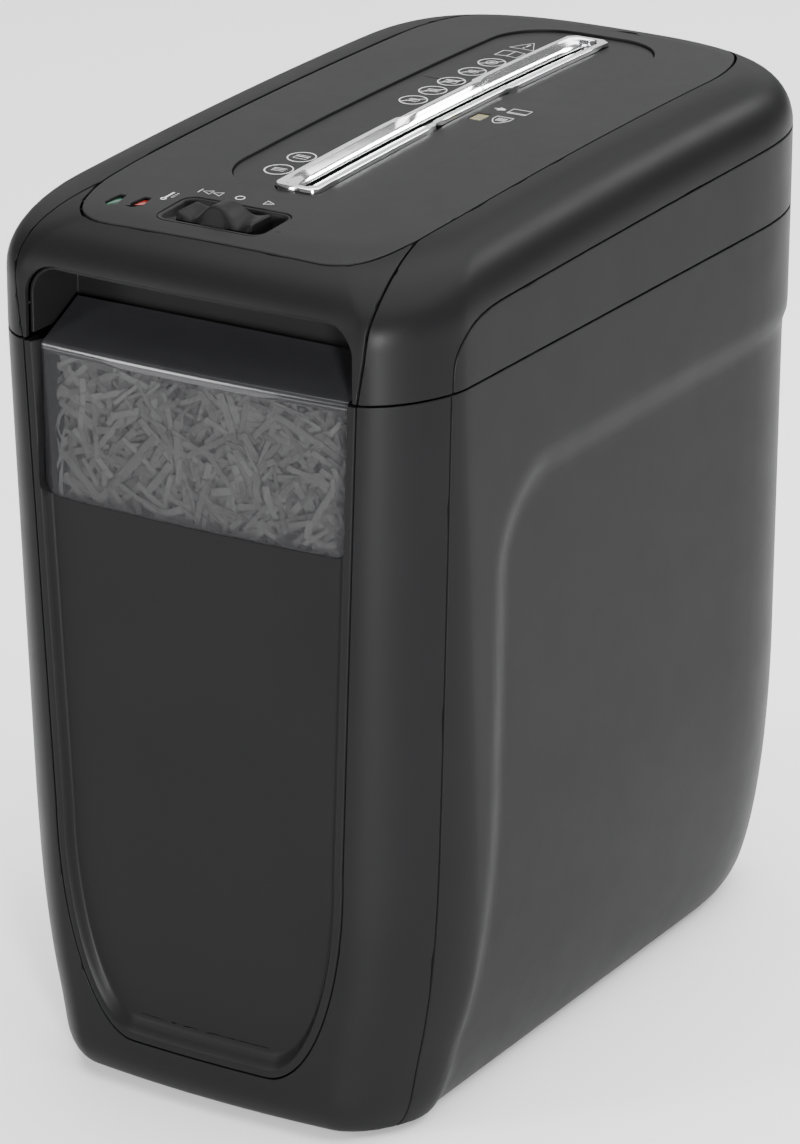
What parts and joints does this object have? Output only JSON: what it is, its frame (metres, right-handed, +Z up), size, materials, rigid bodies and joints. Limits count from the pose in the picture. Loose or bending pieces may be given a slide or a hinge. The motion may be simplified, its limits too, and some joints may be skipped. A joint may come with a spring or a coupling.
{
  "type": "paper shredder",
  "caption": "Deskside cross-cut paper shredder: rounded cabinet, pull-out bin with a smoked window, and a head with a lengthways paper slot, mode knob and geared cutters.",
  "frame": {"origin": "middle of the machine's footprint, on the floor under the feet", "axes": "+X to the right of someone facing the front, +Y towards the back, +Z up; the bin pulls out along -Y"},
  "size_m": [0.2128, 0.368, 0.3915],
  "materials": {
    "casing": "fine satin grain, near black",
    "panel": "fine matt grain, charcoal",
    "smoked_window": "smoked clear moulding",
    "chrome_trim": "polished",
    "inner_plastic": "plain moulded",
    "cutter_steel": "ground and oiled",
    "sheet_steel": "zinc plated",
    "bronze": "sintered",
    "nylon": "natural, greased",
    "rubber": "matt",
    "circuit_board": "lacquered",
    "green_lens": "tinted",
    "red_lens": "tinted",
    "yellow_lens": "tinted"
  },
  "bodies": {
    "cabinet": {"bin_rail_left": "inner_plastic", "bin_rail_right": "inner_plastic", "bush_front_left": "bronze", "bush_front_right": "bronze", "bush_rear_left": "bronze", "bush_rear_right": "bronze", "cabinet_shell": "casing", "control_board": "circuit_board", "cord_inlet": "rubber", "drive_relay": "inner_plastic", "end_plate_front": "sheet_steel", "end_plate_rear": "sheet_steel", "entry_trim": "chrome_trim", "foot_1": "rubber", "foot_2": "rubber", "foot_3": "rubber", "foot_4": "rubber", "front_bezel": "casing", "front_fascia": "casing", "gear_axle": "cutter_steel", "gearbox_cover": "inner_plastic", "grip_recess": "casing", "head_base": "inner_plastic", "head_housing": "casing", "head_screw_1": "sheet_steel", "head_screw_2": "sheet_steel", "head_screw_3": "sheet_steel", "head_screw_4": "sheet_steel", "interlock_switch": "inner_plastic", "mode_switch": "inner_plastic", "motor_can": "sheet_steel", "overheat_light": "red_lens", "paper_guide": "inner_plastic", "power_light": "green_lens", "sensor_light": "yellow_lens", "sensor_plate": "panel", "stripper_comb_left": "inner_plastic", "stripper_comb_right": "inner_plastic", "switch_base": "inner_plastic", "tie_rod_lower_left": "sheet_steel", "tie_rod_lower_right": "sheet_steel", "tie_rod_upper_left": "sheet_steel", "tie_rod_upper_right": "sheet_steel", "top_cover": "casing", "top_panel": "panel"},
    "bin": {"bin_tub": "inner_plastic", "bin_front": "casing", "bin_window": "smoked_window"},
    "mode_knob": {"mode_knob": "casing"},
    "cutter_right_set": {"cutter_right": "cutter_steel", "sync_gear_right": "cutter_steel", "drive_gear": "nylon"},
    "cutter_left_set": {"cutter_left": "cutter_steel", "sync_gear_left": "cutter_steel"},
    "reduction_set": {"reduction_gear": "nylon"},
    "motor_rotor": {"motor_shaft": "cutter_steel", "motor_pinion": "bronze", "motor_fan": "nylon"},
    "interlock": {"interlock_plunger": "nylon"}
  },
  "joints": [
    {"name": "bin_slide", "type": "slide", "parent": "cabinet", "child": "bin", "axis": [0, -1, 0], "range_m": [0, 0.25]},
    {"name": "mode_slide", "type": "slide", "parent": "cabinet", "child": "mode_knob", "axis": [1, 0, 0], "range_m": [-0.006, 0.006]},
    {"name": "cutter_right_spin", "type": "hinge", "parent": "cabinet", "child": "cutter_right_set", "pos_m": [0.017, 0, 0.338], "axis": [0, 1, 0], "continuous": true},
    {"name": "cutter_left_spin", "type": "hinge", "parent": "cabinet", "child": "cutter_left_set", "pos_m": [-0.017, 0, 0.338], "axis": [0, 1, 0], "continuous": true},
    {"name": "reduction_spin", "type": "hinge", "parent": "cabinet", "child": "reduction_set", "pos_m": [0.05032, 0, 0.35409], "axis": [0, 1, 0], "continuous": true},
    {"name": "motor_spin", "type": "hinge", "parent": "cabinet", "child": "motor_rotor", "pos_m": [0.072, 0, 0.338], "axis": [0, 1, 0], "continuous": true},
    {"name": "plunger_slide", "type": "slide", "parent": "cabinet", "child": "interlock", "axis": [0, -1, 0], "range_m": [0, 0.004]}
  ],
  "couplings": [
    {"joint": "cutter_left_spin", "follows": "cutter_right_spin", "ratio": -1},
    {"joint": "reduction_spin", "follows": "cutter_right_spin", "ratio": -2.7},
    {"joint": "motor_spin", "follows": "cutter_right_spin", "ratio": 7.02},
    {"joint": "plunger_slide", "follows": "bin_slide", "ratio": 0.016}
  ]
}
